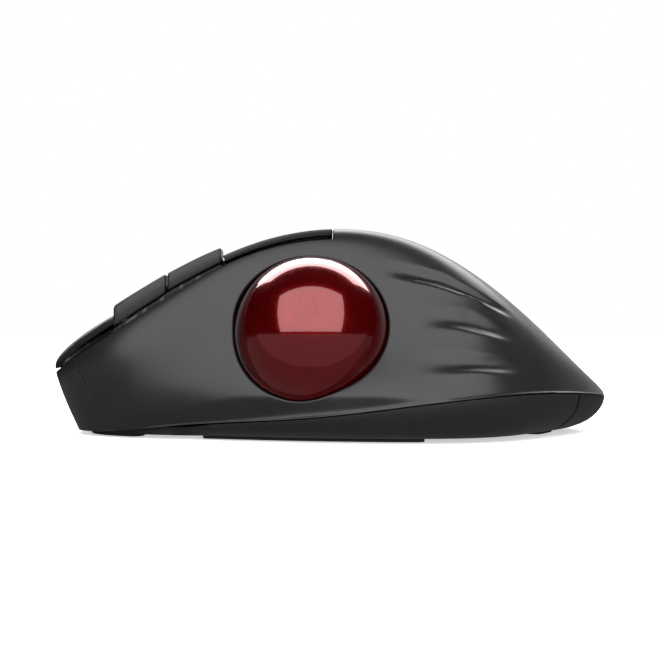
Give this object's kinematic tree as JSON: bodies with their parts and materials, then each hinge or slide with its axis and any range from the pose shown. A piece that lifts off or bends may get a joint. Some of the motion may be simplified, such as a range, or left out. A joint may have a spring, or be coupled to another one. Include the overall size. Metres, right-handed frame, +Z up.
{
  "type": "trackball mouse",
  "caption": "Right-handed thumb-operated trackball mouse: satin black ergonomic shell, red ball in the thumb wall, button plates with raised side buttons, scroll wheel, battery bay, glide feet.",
  "frame": {"origin": "middle of the bounding box in plan, on the desk under the feet", "axes": "+X from nose to tail (palm end), -Y towards the thumb and ball, +Z up"},
  "size_m": [0.1326, 0.0984, 0.0476],
  "materials": {
    "shell_plastic": "satin, very fine grain",
    "plate_plastic": "satin, very fine grain",
    "base_plastic": "matte, fine grain",
    "inner_plastic": "matte moulded",
    "strip_gloss": "polished",
    "ball_red": "polished pearl red",
    "ceramic": "polished",
    "lens_clear": "clear",
    "circuit_board": "solder mask",
    "chip_black": "moulded",
    "tyre_rubber": "ribbed",
    "axle_steel": "ground",
    "screw_steel": "dark zinc",
    "spring_steel": "nickel",
    "contact_metal": "nickelled brass",
    "cell_can": "printed can, plain",
    "glide_pad": "smooth low-friction"
  },
  "bodies": {
    "body": {"upper_shell": "shell_plastic", "nose_cap": "shell_plastic", "tail_cap": "base_plastic", "base_shell": "base_plastic", "centre_strip": "strip_gloss", "button_tray": "inner_plastic", "side_button_bracket": "inner_plastic", "side_switch_front": "chip_black", "side_switch_rear": "chip_black", "button_board": "circuit_board", "left_microswitch": "chip_black", "right_microswitch": "chip_black", "dpi_switch": "chip_black", "main_board": "circuit_board", "middle_switch": "chip_black", "ball_cup": "inner_plastic", "ball_bearing_1": "ceramic", "ball_bearing_2": "ceramic", "ball_bearing_3": "ceramic", "sensor_lens": "lens_clear", "optical_sensor": "chip_black", "sensor_board": "circuit_board", "front_foot": "glide_pad", "thumb_foot": "glide_pad", "pinky_foot": "glide_pad", "rear_foot": "glide_pad", "screw_1": "screw_steel", "screw_2": "screw_steel", "screw_3": "screw_steel", "screw_4": "screw_steel", "battery_cell": "cell_can", "contact_plate": "contact_metal", "contact_spring": "spring_steel", "receiver_body": "inner_plastic", "receiver_plug": "spring_steel", "power_switch": "chip_black", "pairing_switch": "chip_black"},
    "left_click": {"left_button": "plate_plastic"},
    "right_click": {"right_button": "plate_plastic"},
    "side_front": {"side_button_front": "plate_plastic"},
    "side_rear": {"side_button_rear": "plate_plastic"},
    "dpi": {"dpi_button": "plate_plastic"},
    "carrier": {"wheel_carrier": "inner_plastic", "wheel_encoder": "chip_black"},
    "wheel": {"scroll_tyre": "tyre_rubber", "scroll_hub": "plate_plastic", "scroll_axle": "axle_steel"},
    "ball": {"ball": "ball_red"},
    "power": {"power_knob": "plate_plastic"},
    "pairing": {"pairing_button": "plate_plastic"},
    "door": {"battery_door": "base_plastic"}
  },
  "joints": [
    {"name": "left_button_press", "type": "hinge", "parent": "body", "child": "left_click", "pos_m": [-0.003, -0.0164, 0.046], "axis": [0, -1, 0], "range_deg": [0, 0.8], "stiffness_Nm_per_rad": 3},
    {"name": "right_button_press", "type": "hinge", "parent": "body", "child": "right_click", "pos_m": [-0.003, 0.014, 0.043], "axis": [0, -1, 0], "range_deg": [0, 0.8], "stiffness_Nm_per_rad": 3},
    {"name": "side_front_press", "type": "slide", "parent": "body", "child": "side_front", "axis": [0.4463, 0.0102, -0.8948], "range_m": [0, 0.0005], "stiffness_N_per_m": 1200},
    {"name": "side_rear_press", "type": "slide", "parent": "body", "child": "side_rear", "axis": [0.4738, 0.0075, -0.8806], "range_m": [0, 0.0005], "stiffness_N_per_m": 1200},
    {"name": "dpi_press", "type": "slide", "parent": "body", "child": "dpi", "axis": [0.2772, -0.2055, -0.9386], "range_m": [0, 0.0003], "stiffness_N_per_m": 1500},
    {"name": "wheel_press", "type": "slide", "parent": "body", "child": "carrier", "axis": [0, 0, -1], "range_m": [0, 0.0005], "stiffness_N_per_m": 1800},
    {"name": "wheel_spin", "type": "hinge", "parent": "carrier", "child": "wheel", "pos_m": [-0.04, -0.0045, 0.0224], "axis": [0, 1, 0], "continuous": true},
    {"name": "ball_roll", "type": "hinge", "parent": "body", "child": "ball", "pos_m": [-0.004, -0.032, 0.0238], "axis": [0, 0, 1], "continuous": true},
    {"name": "power_slide", "type": "slide", "parent": "body", "child": "power", "axis": [1, 0, 0], "range_m": [0, 0.004]},
    {"name": "pairing_press", "type": "slide", "parent": "body", "child": "pairing", "axis": [0, 0, 1], "range_m": [0, 0.0004], "stiffness_N_per_m": 1500},
    {"name": "door_lift_off", "type": "slide", "parent": "body", "child": "door", "axis": [0, 0, -1], "range_m": [0, 0.012]}
  ]
}
